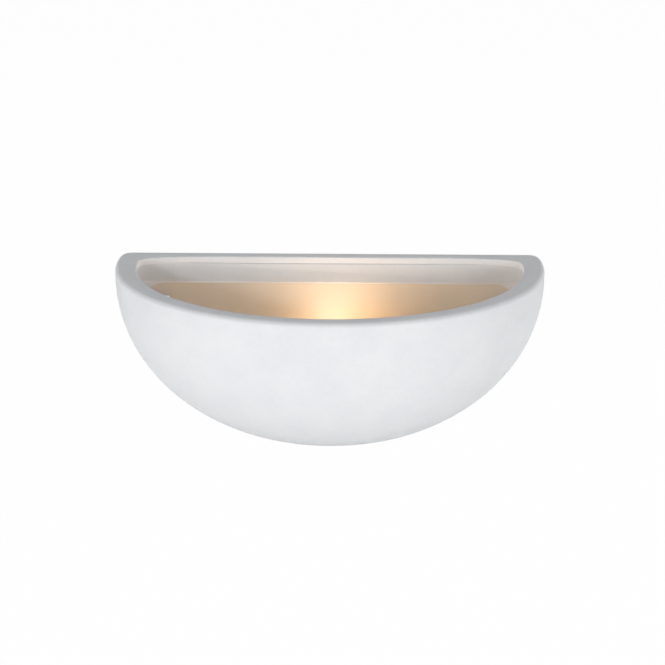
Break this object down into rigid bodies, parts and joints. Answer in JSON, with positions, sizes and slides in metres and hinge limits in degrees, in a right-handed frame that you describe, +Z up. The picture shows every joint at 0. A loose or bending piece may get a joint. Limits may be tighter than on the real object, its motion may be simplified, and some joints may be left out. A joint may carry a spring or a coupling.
{
  "type": "uplighter wall sconce",
  "caption": "Half-bowl uplighter wall sconce: an open-topped unglazed ceramic bowl that lifts off a steel back plate, with a hidden screw-in globe lamp throwing warm light up the wall.",
  "frame": {"origin": "midway between the two wall fixing slots, on the wall face of the back plate", "axes": "+X along the wall to the viewer's right, +Y into the wall, +Z up"},
  "size_m": [0.3, 0.125, 0.131],
  "materials": {
    "bisque_ceramic": "unglazed, fine matt grain",
    "white_screw": "satin white paint",
    "zinc_steel": "bright zinc plate",
    "white_plate": "white powder coat",
    "black_rubber": "moulded",
    "natural_nylon": "moulded",
    "brass": "turned",
    "tinned_copper": "tin plate",
    "green_yellow_sheath": "extruded",
    "brown_sheath": "extruded",
    "blue_sheath": "extruded",
    "white_thermoset": "moulded",
    "porcelain": "glazed",
    "opal_glass": "opal, lit",
    "clear_glass": "clear",
    "tungsten": "drawn",
    "cap_aluminium": "rolled",
    "black_vitrite": "fused glass",
    "solder": "soldered"
  },
  "bodies": {
    "base": {"back_plate": "white_plate", "cable_grommet": "black_rubber", "terminal_block": "natural_nylon", "terminal_inserts": "brass", "terminal_screws": "zinc_steel", "block_screws": "zinc_steel", "earth_stud": "zinc_steel", "earth_washer": "zinc_steel", "earth_nut": "brass", "earth_tag": "tinned_copper", "earth_lead": "green_yellow_sheath", "live_lead": "brown_sheath", "neutral_lead": "blue_sheath", "holder_bracket": "zinc_steel", "bracket_rivets": "zinc_steel", "nipple": "zinc_steel", "nipple_washer": "zinc_steel", "nipple_nut": "brass", "holder_base": "white_thermoset", "holder_sleeve": "white_thermoset", "holder_core": "porcelain", "holder_screw_shell": "brass", "holder_centre_contact": "brass", "holder_clamps": "brass", "holder_clamp_screws": "zinc_steel"},
    "bowl": {"bowl_shell": "bisque_ceramic", "side_screws": "white_screw", "side_washers": "zinc_steel", "side_nuts": "zinc_steel"},
    "lamp_carrier": {"lamp_contact_tip": "solder"},
    "lamp": {"lamp_glass": "opal_glass", "lamp_stem": "clear_glass", "lamp_filament": "tungsten", "lamp_cap": "cap_aluminium", "lamp_insulator": "black_vitrite"}
  },
  "joints": [
    {"name": "bowl_lift", "type": "slide", "parent": "base", "child": "bowl", "axis": [0, 0, 1], "range_m": [0, 0.01]},
    {"name": "lamp_advance", "type": "slide", "parent": "base", "child": "lamp_carrier", "axis": [-1, 0, 0], "range_m": [0, 0.00988]},
    {"name": "lamp_turn", "type": "hinge", "parent": "lamp_carrier", "child": "lamp", "pos_m": [0, -0.044, 0.014], "axis": [-1, 0, 0], "range_deg": [0, 1260]}
  ],
  "couplings": [
    {"joint": "lamp_advance", "follows": "lamp_turn", "m_per_rad": 0.00044913}
  ]
}
